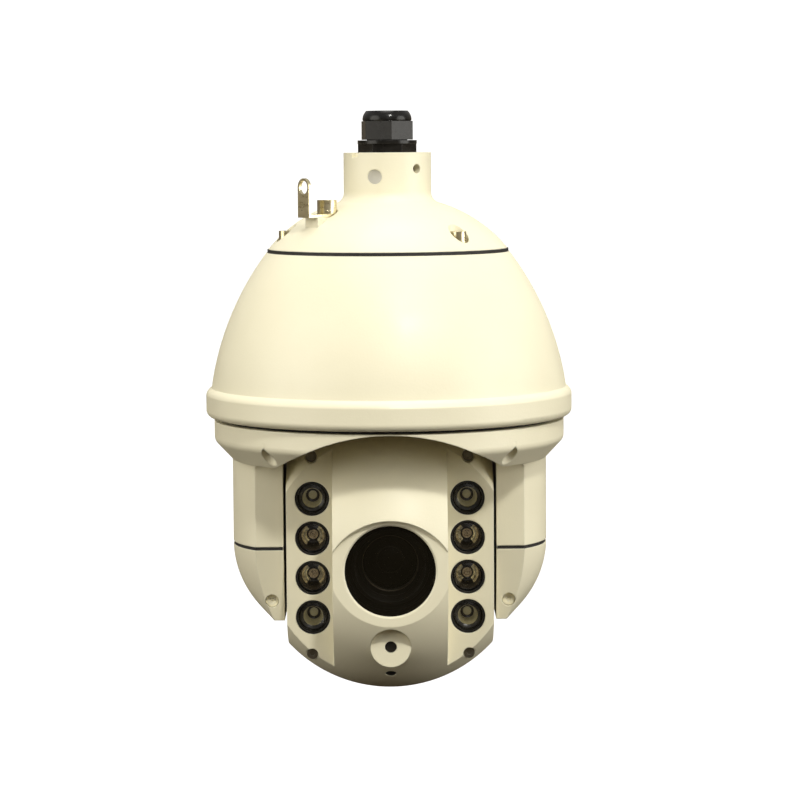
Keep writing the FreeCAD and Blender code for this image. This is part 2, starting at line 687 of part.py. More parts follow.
def electronics():
    board = rod(d.board_radius, 1.6, z=-d.board_depth)
    top = -d.board_depth + 1.6
    chips = [
        block(16, 12, 2, x, y, top) for x, y in ((-20, -20), (10, -24), (24, 18))
    ]
    terminals = block(40, 10, 10, -6, 40, top)
    node("main_board", fuse(board, terminals, *chips))

    fan_side = 40
    fan_depth = 10
    fan_y = -72
    floor = -d.ledge_bottom
    fan_z = floor + fan_side / 2
    tunnel = rod(fan_side / 2 - 1.5, fan_depth, 0, fan_y + fan_depth / 2, fan_z, TO_FRONT)
    strut_y = fan_y + fan_depth / 2 - 0.75
    struts = [block(fan_side - 1, 1.5, 3, y=strut_y, z=fan_z - 1.5),
              block(3, 1.5, fan_side - 1, y=strut_y, z=fan_z - fan_side / 2 + 0.5)]
    hub_disc = rod(8, 1.5, 0, fan_y + fan_depth / 2, fan_z, TO_FRONT)
    frame = cut(block(fan_side, fan_depth, fan_side, y=fan_y, z=floor), tunnel)
    pin = rod(1, 6, 0, fan_y + fan_depth / 2 - 1, fan_z, TO_FRONT)
    node("fan_frame", fuse(frame, *struts, hub_disc, pin))

    blade_count = 7
    hub = rod(8, 7)
    blades = []
    for index in range(blade_count):
        around = Rotation(Vector(0, 0, 1), index * 360 / blade_count)
        blade = block(10, 1.2, 6.5, 12.5, 0, 0.25)
        leaning = place(group(blade), turn=Rotation(Vector(1, 0, 0), 28))
        raised = place(group(leaning), y=1.6, z=0.4)
        blades.append(place(group(raised), turn=around))
    rotor = cut(fuse(hub, *blades), rod(1.05, 5.5))
    node("fan_rotor", place(rotor, 0, fan_y + fan_depth / 2 - 2, fan_z, TO_FRONT))

    fins = [block(20, 2, 12, 78, y, floor + 4) for y in range(-20, 21, 8)]
    node("heater", fuse(block(20, 46, 4, 78, 0, floor), *fins))


# ---------------------------------------------------------------- pan ring and arms

def pan_ring():
    bottom = -d.ring_bottom
    groove_floor = -d.seam_depth + 3.5
    chamfer_height = number(d.ring_bottom - d.chamfer_depth)
    slope = math.atan2(chamfer_height, number(d.ring_radius - d.ring_foot_radius))
    edge_run = d.ring_edge_radius * math.tan((math.pi / 2 - slope) / 2)
    ring = revolve([
        (12, -d.ring_top),
        (12, bottom),
        (d.ring_foot_radius, bottom),
        (d.ring_radius - edge_run * math.cos(slope), -d.chamfer_depth - edge_run * math.sin(slope)),
        (d.ring_radius, -d.chamfer_depth + edge_run, d.ring_edge_radius),
        (d.ring_radius, -d.seam_depth),
        (d.ring_plate_radius, -d.seam_depth),
        (d.ring_plate_radius, -d.ring_top),
        (d.ring_plate_radius - 5, -d.ring_top),
        (d.ring_plate_radius - 5, groove_floor),
        (50, groove_floor),
        (50, -d.ring_top),
    ])
    hollow = ball(d.ball_clearance_radius, z=ball_z)
    arch_length = 2 * d.ring_radius + 10
    arch = rod(d.arch_radius, arch_length, 0, arch_length / 2, -d.arch_apex - d.arch_radius, TO_FRONT)
    recesses = []
    screws = []
    for side in BOTH_SIDES:
        for front in BOTH_SIDES:
            x = side * d.recess_x
            y = front * d.recess_y
            recesses.append(rod(d.recess_radius, d.ring_bottom - d.recess_floor, x, y, bottom))
            recesses.append(rod(d.m_four + FIT_GAP, d.ring_screw_length + 0.5, x, y, -d.recess_floor))
            screw = socket_screw(3.5, 3.2, d.m_four, d.ring_screw_length, 3)
            screws.append(place(screw, x, y, -d.recess_floor - 3.2, DOWNWARD))
    node("pan_ring", cut(ring, hollow, arch, *recesses))
    node("ring_screws", group(*screws))


def arm_plan(inset):
    """The arm's section seen from above: flat inside, front and back, round outside."""
    half = d.arm_half_depth - inset
    return [
        (d.arm_inner + inset, -half),
        (d.arm_crease - inset * 0.15, -half),
        (d.arm_crease - inset * 0.15, half, d.arm_arc - inset),
        (d.arm_inner + inset, half),
    ]


def hollow_plan():
    """The arm's cavity, open on its inner side where the arm plate closes it."""
    corners = arm_plan(d.arm_wall + 2)
    corners[0] = (d.arm_inner - 5, corners[0][1])
    corners[3] = (d.arm_inner - 5, corners[3][1])
    return corners


def drawn_in(top, foot, radius, share):
    """How far out an arc from the seam to the cover's foot stands, at a share of the cover's height."""
    height = number(d.arm_bottom - d.arm_seam_bottom)
    run = number(top) - number(foot)
    chord = math.hypot(run, height)
    reach = math.sqrt(number(radius) ** 2 - chord ** 2 / 4) / chord
    centre_x = number(foot) + run / 2 - height * reach
    centre_down = height / 2 - run * reach
    return centre_x + math.sqrt(number(radius) ** 2 - (share * height - centre_down) ** 2)


def cover_body(inset, inner_side, floor):
    """The lower cover: the arm's section, drawn in on all sides but the inner one towards a small foot."""
    arc_rise = number(d.arm_arc) - math.sqrt(number(d.arm_arc) ** 2 - number(d.arm_half_depth) ** 2)
    height = number(d.arm_bottom - d.arm_seam_bottom)
    sections = []
    for step in range(5):
        share = step / 4 * (1 - floor / height)
        half = number(d.arm_half_depth) - inset - share * number(d.cover_draft)
        crease = drawn_in(d.arm_crease, d.crease_foot, d.crease_arc, share) - 0.15 * inset
        side = drawn_in(d.arm_crease + arc_rise, d.cover_foot, d.cover_arc, share) - 0.7 * inset
        bulge = side - crease
        arc = (half ** 2 + bulge ** 2) / 2 / bulge
        corners = [(inner_side, -half), (crease, -half), (crease, half, arc), (inner_side, half)]
        sections.append((-d.arm_seam_bottom - share * height, corners))
    return loft(sections)


def arm_ears():
    """The round side's corners that stand over the top of the flat front and back facets."""
    arc_centre = d.arm_crease - math.sqrt(number(d.arm_arc) ** 2 - number(d.arm_half_depth) ** 2)
    bottom = -d.ring_bottom - d.arm_ear
    depth = 2 * d.arm_arc
    corner = block(d.arm_ear, depth, d.arm_ear, d.arm_crease - d.arm_ear / 2, 0, bottom)
    sweep = rod(d.arm_ear, depth, d.arm_crease - d.arm_ear, depth / 2, bottom, TO_FRONT)
    return cut(common(rod(d.arm_arc, d.arm_ear, arc_centre, 0, bottom), corner), sweep)


def mirror_turn(side):
    return UPRIGHT if side > 0 else HALF_TURN


def arms():
    gaskets = []
    screws = []
    seam = d.arm_seam_bottom - d.arm_seam_top
    head_height = 1.4
    screw_share = (d.cover_screw_depth - d.arm_seam_bottom) / number(d.arm_bottom - d.arm_seam_bottom)
    cover_face = d.arm_half_depth - d.cover_draft * number(screw_share)
    for side in BOTH_SIDES:
        name = "right" if side > 0 else "left"
        turn = mirror_turn(side)
        housing_height = d.arm_seam_top - d.ring_bottom
        outside = extrude(arm_plan(0), housing_height, offset=-d.arm_seam_top)
        inside = extrude(hollow_plan(), housing_height - 4, offset=-d.arm_seam_top)
        node(f"arm_housing_{name}", place(cut(fuse(outside, arm_ears()), inside), turn=turn))

        gasket = extrude(arm_plan(0.8), seam, offset=-d.arm_seam_bottom)
        gasket_hollow = extrude(hollow_plan(), seam, offset=-d.arm_seam_bottom)
        gaskets.append(place(cut(gasket, gasket_hollow), turn=turn))

        cutters = [cover_body(number(d.arm_wall) + 2, d.arm_inner - 5, number(d.arm_wall))]
        for front, facing in ((-1, TO_FRONT), (1, TO_BACK)):
            face = cover_face * front
            floor = face - 4 * front
            screw_z = -d.cover_screw_depth
            cutters.append(rod(d.cover_recess, 6, d.cover_screw_x, floor, screw_z, facing))
            screw = socket_screw(d.cover_recess - 0.2, head_height, 1.5, 6, 3)
            placed = place(screw, d.cover_screw_x, floor + head_height * front, screw_z, facing)
            screws.append(place(group(placed), turn=turn))
            cutters.append(rod(1.5 + FIT_GAP, 12, d.cover_screw_x, face - 12 * front, screw_z, facing))
        node(f"arm_cover_{name}", place(cut(cover_body(0, d.arm_inner, 0), *cutters), turn=turn))

        arm_plate(side, name)
    node("arm_gaskets", group(*gaskets))
    node("arm_cover_screws", group(*screws))


def arm_plate(side, name):
    """The load-bearing plate inside an arm, with the tilt bearing's seat."""
    width = d.arm_wall - 0.1
    half = d.arm_half_depth - d.arm_wall - 2 - LOOSE_GAP
    top = -d.ring_bottom - 4 - LOOSE_GAP
    bottom = -d.arm_bottom + d.arm_wall + LOOSE_GAP
    foot_half = half - d.cover_draft
    outline = [(-foot_half, bottom), (foot_half, bottom), (half, -d.arm_seam_bottom), (half, top),
               (-half, top), (-half, -d.arm_seam_bottom)]
    plate = place(extrude(outline, width, "YZ_Plane"), d.arm_inner + LOOSE_GAP)
    seat = rod(d.tilt_bearing_radius + FIT_GAP, 10, d.arm_inner - 1, 0, ball_z, TO_RIGHT)
    node(f"arm_plate_{name}", place(cut(plate, seat), turn=mirror_turn(side)))


def tilt_drive():
    bearings = []
    hubs = []
    for side in BOTH_SIDES:
        turn = mirror_turn(side)
        ring = rod(d.tilt_bearing_radius, 5, d.arm_inner + LOOSE_GAP, 0, ball_z, TO_RIGHT)
        bore = rod(d.shaft_radius + 0.03, 5, d.arm_inner + LOOSE_GAP, 0, ball_z, TO_RIGHT)
        bearings.append(place(cut(ring, bore), turn=turn))
        disc_start = d.cheek + 0.05
        disc = rod(d.hub_radius, d.arm_inner - disc_start - 0.15, disc_start, 0, ball_z, TO_RIGHT)
        spigot = rod(d.shaft_radius * 2 - LOOSE_GAP, 6, disc_start - 6, 0, ball_z, TO_RIGHT)
        shaft_end = d.tilt_pulley_inner + 10 if side < 0 else d.tilt_pulley_inner
        shaft = rod(d.shaft_radius, shaft_end - disc_start, disc_start, 0, ball_z, TO_RIGHT)
        hubs.append(place(fuse(disc, spigot, shaft), turn=turn))
    node("tilt_bearings", group(*bearings))
    node("tilt_hubs", group(*hubs))

    outer_x = -d.tilt_pulley_inner - d.pulley_height
    pulley = rod(d.tilt_pulley_radius, d.pulley_height, outer_x, 0, ball_z, TO_RIGHT)
    bore = rod(d.shaft_radius + FIT_GAP, d.pulley_height, outer_x, 0, ball_z, TO_RIGHT)
    node("tilt_pulley", cut(pulley, bore))
    motor_z = ball_z + d.tilt_belt_span
    motor_length = 9.3
    shaft_depth = 6
    pinion = rod(d.tilt_pinion_radius, d.pulley_height, outer_x, 0, motor_z, TO_RIGHT)
    shaft = rod(1.5, shaft_depth + 1, outer_x - shaft_depth, 0, motor_z, TO_RIGHT)
    node("tilt_motor_pulley", fuse(pinion, shaft))
    motor_end = outer_x - 0.5
    motor = rod(14, motor_length, motor_end - motor_length, 0, motor_z, TO_RIGHT)
    socket = rod(1.55, shaft_depth, motor_end - shaft_depth, 0, motor_z, TO_RIGHT)
    node("tilt_motor", cut(motor, socket))
    loop = belt(d.tilt_pulley_radius, d.tilt_pinion_radius, d.tilt_belt_span, d.pulley_height - 2)
    node("tilt_belt", place(loop, outer_x + 1, 0, ball_z, BELT_TO_SIDE))


# ---------------------------------------------------------------- camera head

def forward(radius, start, end, x=0.0, up=0.0):
    """A rod along the camera's view between two distances in front of the ball's centre."""
    return rod(radius, end - start, x, -start, ball_z + up, TO_FRONT)


def slab(half_width, start, end, half_height=110, x=0.0, up=0.0):
    """A block between two distances in front of the ball's centre."""
    depth = end - start
    return block(2 * half_width, depth, 2 * half_height, x, -start - depth / 2, ball_z + up - half_height)


def lamp_places():
    return [(side * d.lamp_x, row * d.lamp_pitch) for side in BOTH_SIDES for row in (-1.5, -0.5, 0.5, 1.5)]


def head_form(inset):
    """The head's outer form, or its cavity when it is drawn in by the wall's thickness."""
    radius = d.ball_radius - inset
    form = common(ball(radius, z=ball_z), slab(d.cheek - inset, -110, 110))
    strip_inner = d.bulge_half_width - inset
    strip_half = (d.cheek + 2 - strip_inner) / 2
    strips = [slab(strip_half, d.strip_front - inset, 100, x=side * (strip_inner + strip_half))
              for side in BOTH_SIDES]
    return cut(form, *strips)


def head_screw_seats():
    """Forward screws of the shell: x, height, seat distance and mouth distance."""
    seats = []
    for side in BOTH_SIDES:
        seats.append((side * d.strip_screw_x, d.strip_screw_up, d.strip_screw_seat))
        seats.append((side * d.corner_screw_x, -d.corner_screw_down, d.corner_screw_seat))
    return seats


def head_shell():
    sensor_up = -d.sensor_drop
    lens_up = -d.lens_drop
    sensor_boss = forward(d.sensor_boss_radius, d.strip_front, d.sensor_front, up=sensor_up)
    outside = fuse(head_form(0), sensor_boss)
    keep_outs = [
        forward(d.lens_pad_radius, d.lens_floor - 6.5, 100, up=lens_up),
        forward(d.sensor_boss_radius + 3, d.sensor_front - 7, 100, up=sensor_up),
    ]
    edge_bevel = 1
    bevel = revolve([
        (0, 0),
        (d.window_sight, 0),
        (d.window_sight + edge_bevel, edge_bevel),
        (0, edge_bevel),
    ])
    cutters = [
        forward(d.brow_radius, d.lens_floor, 100, up=-d.brow_drop),
        place(bevel, 0, -d.lens_floor + edge_bevel, ball_z + lens_up, TO_FRONT),
        forward(d.window_sight, 60, 100, up=lens_up),
        forward(d.window_radius + LOOSE_GAP, 60, d.window_front + 0.05, up=lens_up),
        forward(d.sensor_boss_radius, d.sensor_front, 100, up=sensor_up),
        forward(d.sensor_hole_radius, 50, 80, up=sensor_up),
    ]
    for x, up in lamp_places():
        cutters.append(forward(d.lamp_hole, 38, 50, x, up))
    for x, up, seat in head_screw_seats():
        keep_outs.append(forward(d.head_counterbore + 2, d.split_front + 3, seat, x, up))
        cutters.append(forward(d.head_counterbore, seat, 60, x, up))
        cutters.append(forward(d.m_four + FIT_GAP, d.split_front + 6, seat + 1, x, up))
    chin_z = ball_z - d.chin_hole_down
    inward = 9 * math.sqrt(0.5)
    chin_hole = rod(d.chin_hole_radius, 18, 0, -d.chin_hole_front + inward, chin_z + inward, TO_CHIN)
    boss_in = 1.3 * inward
    chin_boss = rod(d.chin_hole_radius + 2, 20, 0, -d.chin_hole_front + boss_in, chin_z + boss_in, TO_CHIN)
    keep_outs.append(chin_boss)
    cutters.append(chin_hole)
    shell = cut(outside, cut(head_form(d.shell_wall), *keep_outs), *cutters)

    front_half = slab(80, d.split_front, 120)
    node("head_front_shell", common(shell, front_half))
    back_form = cut(head_form(0), head_form(d.shell_wall))
    hub_hole = rod(d.shaft_radius * 2, 200, -100, 0, ball_z, TO_RIGHT)
    node("head_rear_shell", cut(common(back_form, slab(80, -120, d.split_back)), hub_hole))
    gasket_form = cut(head_form(0.6), head_form(d.shell_wall))
    node("head_gasket", common(gasket_form, slab(80, d.split_back, d.split_front)))

    screws = []
    for x, up, seat in head_screw_seats():
        screw = socket_screw(3.5, 3.2, d.m_four, 12, 3)
        screws.append(place(screw, x, -seat - 3.2, ball_z + up, TO_FRONT))
    chin_screw = socket_screw(d.chin_hole_radius - 0.2, 2.5, 1.2, 1, 2.5)
    head_start = inward * 0.6
    screws.append(place(chin_screw, 0, -d.chin_hole_front + head_start, chin_z + head_start, TO_CHIN))
    node("head_screws", group(*screws))


def window_and_sensor():
    lens_up = -d.lens_drop
    back = d.window_front - d.window_thickness
    node("lens_window", forward(d.window_radius, back, d.window_front, up=lens_up))
    tube = forward(d.window_radius, d.shroud_back, back, up=lens_up)
    hollow = forward(d.window_radius - 1.8, d.shroud_back + 1.5, back, up=lens_up)
    node("window_retainer", cut(tube, hollow, forward(d.shroud_bore, d.shroud_back, back, up=lens_up)))
    sensor = forward(d.sensor_hole_radius - LOOSE_GAP, 60, d.sensor_front - 2.5, up=-d.sensor_drop)
    node("light_sensor", sensor)


def infrared_lamps():
    """Eight lamps: a black bezel tube, a deep reflector cup inside it and a lens over its mouth."""
    bezels = []
    lenses = []
    reflectors = []
    back = d.strip_front - d.lamp_depth
    lens_radius = d.bezel_bore - 0.1
    cup_height = d.lamp_depth - d.lamp_lens - d.lamp_lens_rise - 1.6
    for x, up in lamp_places():
        tube = forward(d.lamp_hole - 0.1, back, d.strip_front - 0.6, x, up)
        bezels.append(cut(tube, forward(d.bezel_bore, back, d.strip_front, x, up)))
        glass = revolve([
            (0, 0),
            (lens_radius, 0),
            (lens_radius, d.lamp_lens),
            (0, d.lamp_lens + d.lamp_lens_rise, dome_arc(lens_radius, d.lamp_lens_rise)),
        ])
        lenses.append(place(glass, x, -back - cup_height - 0.05, ball_z + up, TO_FRONT))
        cup = revolve([
            (0, 0),
            (lens_radius, 0),
            (lens_radius, cup_height),
            (lens_radius - 0.9, cup_height),
            (d.lamp_cup_foot, 1.5),
            (0, 1.5),
        ])
        reflectors.append(place(cup, x, -back, ball_z + up, TO_FRONT))
    node("lamp_bezels", group(*bezels))
    node("lamp_lenses", group(*lenses))
    node("lamp_reflectors", group(*reflectors))


def camera_module():
    lens_up = -d.lens_drop
    wall = 2.5
    case = slab(d.camera_half_width, -d.camera_back, d.camera_front, d.camera_half_height, up=lens_up)
    room = slab(d.camera_half_width - wall, -d.camera_back + wall, d.camera_front - wall,
                d.camera_half_height - wall, up=lens_up)
    mouth = forward(d.barrel_bore, 0, d.camera_front, up=lens_up)
    node("camera_block", cut(case, room, mouth))
    barrel = forward(d.barrel_radius, d.camera_front, d.barrel_front, up=lens_up)
    bore = forward(d.barrel_bore, d.camera_front, d.barrel_front, up=lens_up)
    wide_mouth = forward(d.barrel_mouth, d.barrel_step, d.barrel_front, up=lens_up)
    node("lens_barrel", cut(barrel, bore, wide_mouth))
    lens_radius = d.barrel_bore - 0.05
    front_lens = revolve([
        (0, 0),
        (lens_radius, 0),
        (lens_radius, 3),
        (0, 7, dome_arc(lens_radius, 4)),
    ])
    node("front_lens", place(front_lens, 0, -d.front_lens_back, ball_z + lens_up, TO_FRONT))
    node("zoom_group", forward(16, 24, 29, up=lens_up))
    node("focus_group", forward(12, 0, 5, up=lens_up))
    node("ir_cut_filter", slab(8, -16, -15, 8, x=-8, up=lens_up))


# ---------------------------------------------------------------- build, check and write

def check_document():
    doc.recompute()
    for thing in doc.Objects:
        if "Invalid" in thing.State or "Error" in thing.State:
            raise RuntimeError(f"{thing.Name} ({thing.Label}) failed: {thing.State}")
    for thing in nodes:
        if thing.Shape.isNull() or not thing.Shape.isValid() or not thing.Shape.Solids:
            raise RuntimeError(f"{thing.Label} has no valid solid")


def write_nodes():
    os.makedirs("parts", exist_ok=True)
    for thing in nodes:
        thing.Shape.exportStep(os.path.join("parts", thing.Label + ".step"))
        print(f"{thing.Label}: {len(thing.Shape.Solids)} solid(s), {thing.Shape.Volume / 1000:.1f} cm3")
    print(f"{len(nodes)} nodes")


gland_parts()
top_cap()
cap_fittings()
safety_lug()
upper_housing()
base_plate()
pan_drive()
electronics()
pan_ring()
arms()
tilt_drive()
head_shell()
window_and_sensor()
infrared_lamps()
camera_module()
check_document()
write_nodes()
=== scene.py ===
"""Looks of the infrared speed dome camera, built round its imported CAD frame.

Everything is in metres in the CAD frame: the origin is the centre of the neck's top face, +Z is up, the
lens looks along -Y. Positions come from the CAD nodes' own boxes.
"""

import json
import math

import bmesh
import bpy
from mathutils import Matrix, Vector


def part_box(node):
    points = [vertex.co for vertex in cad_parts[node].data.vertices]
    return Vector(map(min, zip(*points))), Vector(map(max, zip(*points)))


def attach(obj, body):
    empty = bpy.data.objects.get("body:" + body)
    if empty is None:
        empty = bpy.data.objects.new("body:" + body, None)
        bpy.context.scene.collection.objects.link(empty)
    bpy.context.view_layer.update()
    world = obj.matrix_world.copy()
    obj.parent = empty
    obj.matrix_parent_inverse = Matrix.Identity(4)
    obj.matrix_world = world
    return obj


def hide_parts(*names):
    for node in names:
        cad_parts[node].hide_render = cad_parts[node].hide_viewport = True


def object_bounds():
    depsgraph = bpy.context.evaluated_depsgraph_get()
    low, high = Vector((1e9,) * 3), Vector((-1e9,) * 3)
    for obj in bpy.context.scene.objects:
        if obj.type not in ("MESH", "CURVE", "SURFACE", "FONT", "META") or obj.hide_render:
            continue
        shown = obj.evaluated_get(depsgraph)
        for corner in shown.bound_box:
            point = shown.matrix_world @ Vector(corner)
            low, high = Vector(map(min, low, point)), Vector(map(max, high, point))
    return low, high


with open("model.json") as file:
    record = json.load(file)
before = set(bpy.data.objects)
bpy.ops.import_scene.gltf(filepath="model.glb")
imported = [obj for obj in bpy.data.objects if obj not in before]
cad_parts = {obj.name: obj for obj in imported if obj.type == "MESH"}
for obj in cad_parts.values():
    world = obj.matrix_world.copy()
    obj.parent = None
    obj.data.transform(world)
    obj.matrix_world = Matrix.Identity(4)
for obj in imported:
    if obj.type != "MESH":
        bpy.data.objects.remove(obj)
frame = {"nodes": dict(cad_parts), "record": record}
cad_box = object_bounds()
scene = bpy.context.scene
nodes = frame["nodes"]
MM = 0.001


# ---------------------------------------------------------------- node material helpers

def new_material(name):
    material = bpy.data.materials.new(name)
    material.use_nodes = True
    tree = material.node_tree
    tree.nodes.clear()
    output = tree.nodes.new("ShaderNodeOutputMaterial")
    shader = tree.nodes.new("ShaderNodeBsdfPrincipled")
    tree.links.new(shader.outputs["BSDF"], output.inputs["Surface"])
    return material, tree, shader


def noise(tree, scale, detail=3.0, stretch=(1, 1, 1)):
    """Noise over the object's own coordinates; the scale is in features per metre."""
    coordinates = tree.nodes.new("ShaderNodeTexCoord")
    mapping = tree.nodes.new("ShaderNodeMapping")
    mapping.inputs["Scale"].default_value = stretch
    texture = tree.nodes.new("ShaderNodeTexNoise")
    texture.inputs["Scale"].default_value = scale
    texture.inputs["Detail"].default_value = detail
    tree.links.new(coordinates.outputs["Object"], mapping.inputs["Vector"])
    tree.links.new(mapping.outputs["Vector"], texture.inputs["Vector"])
    return texture.outputs["Fac"]


def ramp(tree, value, stops):
    """Maps a value to colours; stops are (position, (r, g, b))."""
    element = tree.nodes.new("ShaderNodeValToRGB")
    ramp_stops = element.color_ramp.elements
    for index, (position, colour) in enumerate(stops):
        stop = ramp_stops[index] if index < 2 else ramp_stops.new(position)
        stop.position = position
        stop.color = (*colour, 1)
    tree.links.new(value, element.inputs["Fac"])
    return element.outputs["Color"]


def spread(tree, value, low, high, start=0.3, end=0.7):
    """Maps the range start..end of a value to low..high."""
    element = tree.nodes.new("ShaderNodeMapRange")
    element.inputs["From Min"].default_value = start
    element.inputs["From Max"].default_value = end
    element.inputs["To Min"].default_value = low
    element.inputs["To Max"].default_value = high
    tree.links.new(value, element.inputs["Value"])
    return element.outputs["Result"]


def mix_colours(tree, factor, first, second):
    element = tree.nodes.new("ShaderNodeMix")
    element.data_type = "RGBA"
    tree.links.new(factor, element.inputs["Factor"])
    tree.links.new(first, element.inputs["A"])
    if isinstance(second, tuple):
        element.inputs["B"].default_value = (*second, 1)
    else:
        tree.links.new(second, element.inputs["B"])
    return element.outputs["Result"]


def rounded_normal(tree, radius):
    """The surface normal with every sharp edge rounded to this radius."""
    element = tree.nodes.new("ShaderNodeBevel")
    element.samples = 4
    element.inputs["Radius"].default_value = radius
    return element.outputs["Normal"]


def edge_mask(tree, rounded):
    """1 on sharp edges and corners, 0 on open surfaces."""
    geometry = tree.nodes.new("ShaderNodeNewGeometry")
    dot = tree.nodes.new("ShaderNodeVectorMath")
    dot.operation = "DOT_PRODUCT"
    tree.links.new(geometry.outputs["Normal"], dot.inputs[0])
    tree.links.new(rounded, dot.inputs[1])
    return spread(tree, dot.outputs["Value"], 1.0, 0.0, 0.85, 0.995)


def bump(tree, shader, height, strength, distance, base):
    element = tree.nodes.new("ShaderNodeBump")
    element.inputs["Strength"].default_value = strength
    element.inputs["Distance"].default_value = distance
    tree.links.new(height, element.inputs["Height"])
    tree.links.new(base, element.inputs["Normal"])
    tree.links.new(element.outputs["Normal"], shader.inputs["Normal"])
    return element.outputs["Normal"]


# ---------------------------------------------------------------- materials

def powder_coat():
    """Cream polyester powder coat: fine orange peel, thinner and paler over its edges."""
    material, tree, shader = new_material("powder_coat")
    dark_cream = (0.775, 0.725, 0.54)
    light_cream = (0.835, 0.788, 0.60)
    worn_edge = (0.87, 0.85, 0.70)
    rounded = rounded_normal(tree, 1.0 * MM)
    edges = edge_mask(tree, rounded)
    body = ramp(tree, noise(tree, 9, 4), [(0.3, dark_cream), (0.7, light_cream)])
    tint = mix_colours(tree, spread(tree, edges, 0, 0.5, 0, 1), body, worn_edge)
    tree.links.new(tint, shader.inputs["Base Color"])
    tree.links.new(spread(tree, noise(tree, 60, 4), 0.38, 0.52), shader.inputs["Roughness"])
    peel = bump(tree, shader, noise(tree, 700, 1.5), 0.35, 0.15 * MM, rounded)
    bump(tree, shader, noise(tree, 2600, 2), 0.2, 0.06 * MM, peel)
    return material


def moulded(name, dark, light, roughness, edge_radius=0.3 * MM, grain=0.25, gloss=0.5, scale=120):
    """Moulded plastic or rubber with a fine grain and edges rubbed a little lighter."""
    material, tree, shader = new_material(name)
    shader.inputs["Specular IOR Level"].default_value = gloss
    rounded = rounded_normal(tree, edge_radius)
    edges = edge_mask(tree, rounded)
    body = ramp(tree, noise(tree, scale, 3), [(0.3, dark), (0.7, light)])
    rubbed = tuple(channel * 1.6 for channel in light)
    tree.links.new(mix_colours(tree, edges, body, rubbed), shader.inputs["Base Color"])
    tree.links.new(spread(tree, noise(tree, 240, 4), *roughness), shader.inputs["Roughness"])
    bump(tree, shader, noise(tree, 2000, 3), grain, 0.08 * MM, rounded)
    return material


def metal(name, dark, light, roughness, stretch=(1, 1, 1), grain=0.06, scale=140):
    """Bare metal with uneven tint and roughness; stretch draws the marks out along an axis."""
    material, tree, shader = new_material(name)
    rounded = rounded_normal(tree, 0.35 * MM)
    tint = ramp(tree, noise(tree, scale, 4, stretch), [(0.3, dark), (0.7, light)])
    tree.links.new(tint, shader.inputs["Base Color"])
    shader.inputs["Metallic"].default_value = 1
    tree.links.new(spread(tree, noise(tree, 220, 5, stretch), *roughness), shader.inputs["Roughness"])
    bump(tree, shader, noise(tree, 1500, 3, stretch), grain, 0.1 * MM, rounded)
    return material


def clear_cover(name, tint, veil, ior):
    """Thin clear glass: mostly see-through, with a faint tint and a sharp reflection."""
    material, tree, shader = new_material(name)
    dark = tuple(channel * 0.8 for channel in tint)
    mottled = ramp(tree, noise(tree, 40, 2), [(0.3, dark), (0.7, tint)])
    tree.links.new(mottled, shader.inputs["Base Color"])
    shader.inputs["Alpha"].default_value = veil
    shader.inputs["IOR"].default_value = ior
    tree.links.new(spread(tree, noise(tree, 300, 3), 0.01, 0.03), shader.inputs["Roughness"])
    return material


def add_painted_glow(material, strength):
    """Adds a painted glow in the material's own colours: emission that stands in for light falling into the
    lamp's optic, since the lamps give no light.
    """
    tree = material.node_tree
    shader = next(item for item in tree.nodes if item.type == "BSDF_PRINCIPLED")
    tint = shader.inputs["Base Color"].links[0].from_socket
    tree.links.new(tint, shader.inputs["Emission Color"])
    shader.inputs["Emission Strength"].default_value = strength
    return material


BLACK = (0.006, 0.0055, 0.005)
SOOT = (0.011, 0.010, 0.009)
MATERIALS = {
    "coat": powder_coat(),
    "nylon": moulded("black_nylon", BLACK, SOOT, (0.16, 0.26), 0.5 * MM, grain=0.05, gloss=0.25),
    "rubber": moulded("black_rubber", (0.010, 0.009, 0.008), (0.019, 0.017, 0.015), (0.6, 0.8)),
    "stainless": metal("stainless", (0.64, 0.56, 0.34), (0.80, 0.73, 0.52), (0.26, 0.34),
                       stretch=(1, 1, 3), grain=0.004, scale=60),
    "plug": moulded("grey_plug", (0.43, 0.41, 0.35), (0.52, 0.50, 0.43), (0.45, 0.6), 0.5 * MM, grain=0.1),
    "alloy": metal("cast_alloy", (0.52, 0.52, 0.51), (0.64, 0.64, 0.63), (0.4, 0.6)),
    "steel": metal("ground_steel", (0.42, 0.42, 0.42), (0.55, 0.55, 0.54), (0.2, 0.35)),
    "pulley": metal("turned_alloy", (0.56, 0.56, 0.58), (0.68, 0.68, 0.70), (0.25, 0.4)),
    "dark_plastic": moulded("dark_plastic", BLACK, SOOT, (0.32, 0.5), 0.25 * MM),
    "board": moulded("circuit_board", (0.01, 0.09, 0.035), (0.015, 0.13, 0.055), (0.35, 0.5)),
    "glass": clear_cover("coated_glass", (0.012, 0.010, 0.006), 0.35, 1.35),
    "reflector": metal("smoked_reflector", (0.05, 0.042, 0.028), (0.09, 0.078, 0.050), (0.10, 0.2)),
}
LENS_BLACK = moulded("lens_black", (0.006, 0.0045, 0.003), (0.011, 0.008, 0.005), (0.35, 0.5), grain=0.02)
# A lighter, glossier brown on the rings' inner lips: a painted highlight for the light their rounded edges
# catch.
PAINTED_LENS_HIGHLIGHT = moulded("lens_edge_painted_highlight", (0.16, 0.13, 0.09), (0.26, 0.22, 0.16), (0.12, 0.2), grain=0.02)
LAMP_BLACK = moulded("lamp_black", (0.016, 0.014, 0.010), (0.028, 0.025, 0.019), (0.2, 0.3), grain=0.02)
# The lamps' cups, balls and chips carry a painted glow; the lamps themselves are dark.
GOLD_CUP = add_painted_glow(
    metal("gold_cup", (0.16, 0.12, 0.05), (0.95, 0.82, 0.48), (0.14, 0.3), scale=520), 0.17)
OLIVE_CUP = add_painted_glow(
    moulded("olive_cup", (0.30, 0.26, 0.14), (0.44, 0.39, 0.22), (0.25, 0.4)), 0.15)
OLIVE_BALL = add_painted_glow(
    moulded("olive_ball", (0.38, 0.34, 0.19), (0.52, 0.47, 0.29), (0.2, 0.3)), 0.18)
